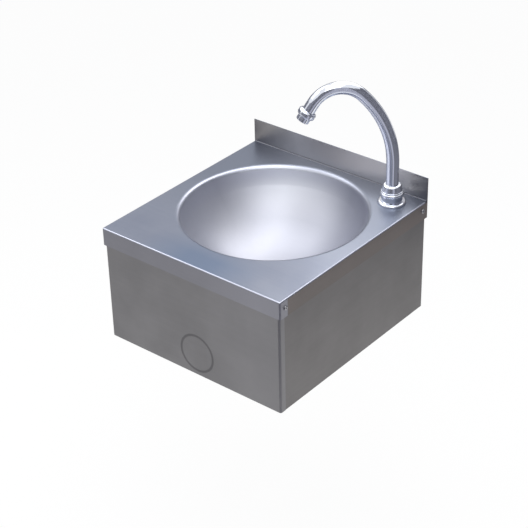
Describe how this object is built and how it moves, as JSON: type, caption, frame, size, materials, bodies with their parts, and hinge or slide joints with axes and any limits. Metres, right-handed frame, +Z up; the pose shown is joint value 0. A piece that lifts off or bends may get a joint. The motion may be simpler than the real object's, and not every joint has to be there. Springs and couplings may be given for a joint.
{
  "type": "knee-operated hand wash sink",
  "caption": "Wall-hung stainless steel hand wash sink: round bowl in a folded deck with rear upstand, swivelling swan-neck spout, and a front panel pushed by the knee to run the water.",
  "frame": {"origin": "centre of the rectangle of the wall fixing holes, on the wall's plane", "axes": "+X to the right for someone standing at the sink, +Y towards the wall, +Z up"},
  "size_m": [0.4044, 0.424, 0.4698],
  "materials": {
    "brushed_sheet": "satin brushed",
    "bowl_steel": "satin polished",
    "strainer_steel": "polished",
    "screw_steel": "bright",
    "zinc_steel": "zinc plated",
    "steel_braid": "woven",
    "chrome": "polished",
    "nickel_plate": "plated",
    "brass": "machined",
    "black_rubber": "matt",
    "black_plastic": "moulded",
    "white_plastic": "moulded"
  },
  "bodies": {
    "basin": {"deck_shell": "brushed_sheet", "bowl": "bowl_steel", "side_panel_left": "brushed_sheet", "side_panel_right": "brushed_sheet", "rear_rail": "zinc_steel", "valve_bracket": "zinc_steel", "rear_screws": "screw_steel", "rear_nuts": "screw_steel", "rear_spacers": "black_plastic", "pivot_screws": "screw_steel", "pivot_nuts": "screw_steel", "valve_bonnet": "brass", "stem_seal": "black_rubber", "valve_locknut": "brass", "valve_body": "brass", "valve_end_cap": "brass", "mixing_tee": "brass", "tee_union_nut": "brass", "check_valves": "white_plastic", "inlet_filters": "screw_steel", "water_hose": "steel_braid", "hose_washers": "black_rubber", "hose_tails": "screw_steel", "hose_nuts": "nickel_plate", "spout_rosette": "chrome", "foot_gasket": "black_rubber", "spout_foot": "chrome", "spout_o_rings": "black_rubber", "under_gasket": "black_rubber", "under_washer": "zinc_steel", "spout_backnut": "brass", "spout_cap_nut": "chrome", "waste_strainer": "strainer_steel", "waste_upper_gasket": "black_rubber", "waste_lower_gasket": "black_rubber", "waste_body": "white_plastic", "waste_screw": "screw_steel"},
    "spout": {"spout_tube": "chrome", "slip_ring": "white_plastic", "aerator_collar": "chrome", "aerator_washer": "black_rubber", "aerator_housing": "chrome", "aerator_insert": "white_plastic"},
    "knee_panel": {"knee_panel": "brushed_sheet", "pivot_bushes": "black_plastic", "knee_pad": "black_rubber"},
    "valve_plunger": {"valve_button": "chrome", "valve_stem": "screw_steel", "valve_disc": "black_rubber", "valve_spring": "screw_steel"}
  },
  "joints": [
    {"name": "spout_swivel", "type": "hinge", "parent": "basin", "child": "spout", "pos_m": [0.1515, -0.0425, 0.15], "axis": [0, 0, 1], "range_deg": [-45, 100]},
    {"name": "knee_panel_swing", "type": "hinge", "parent": "basin", "child": "knee_panel", "pos_m": [0, -0.41, 0.109], "axis": [1, 0, 0], "range_deg": [0, 2.3], "stiffness_Nm_per_rad": 20, "springref_deg": -5.73},
    {"name": "valve_button_press", "type": "slide", "parent": "basin", "child": "valve_plunger", "axis": [0, 1, 0], "range_m": [0, 0.0062], "deforming": ["valve_spring"]}
  ],
  "couplings": [
    {"joint": "valve_button_press", "follows": "knee_panel_swing", "m_per_rad": 0.14}
  ]
}
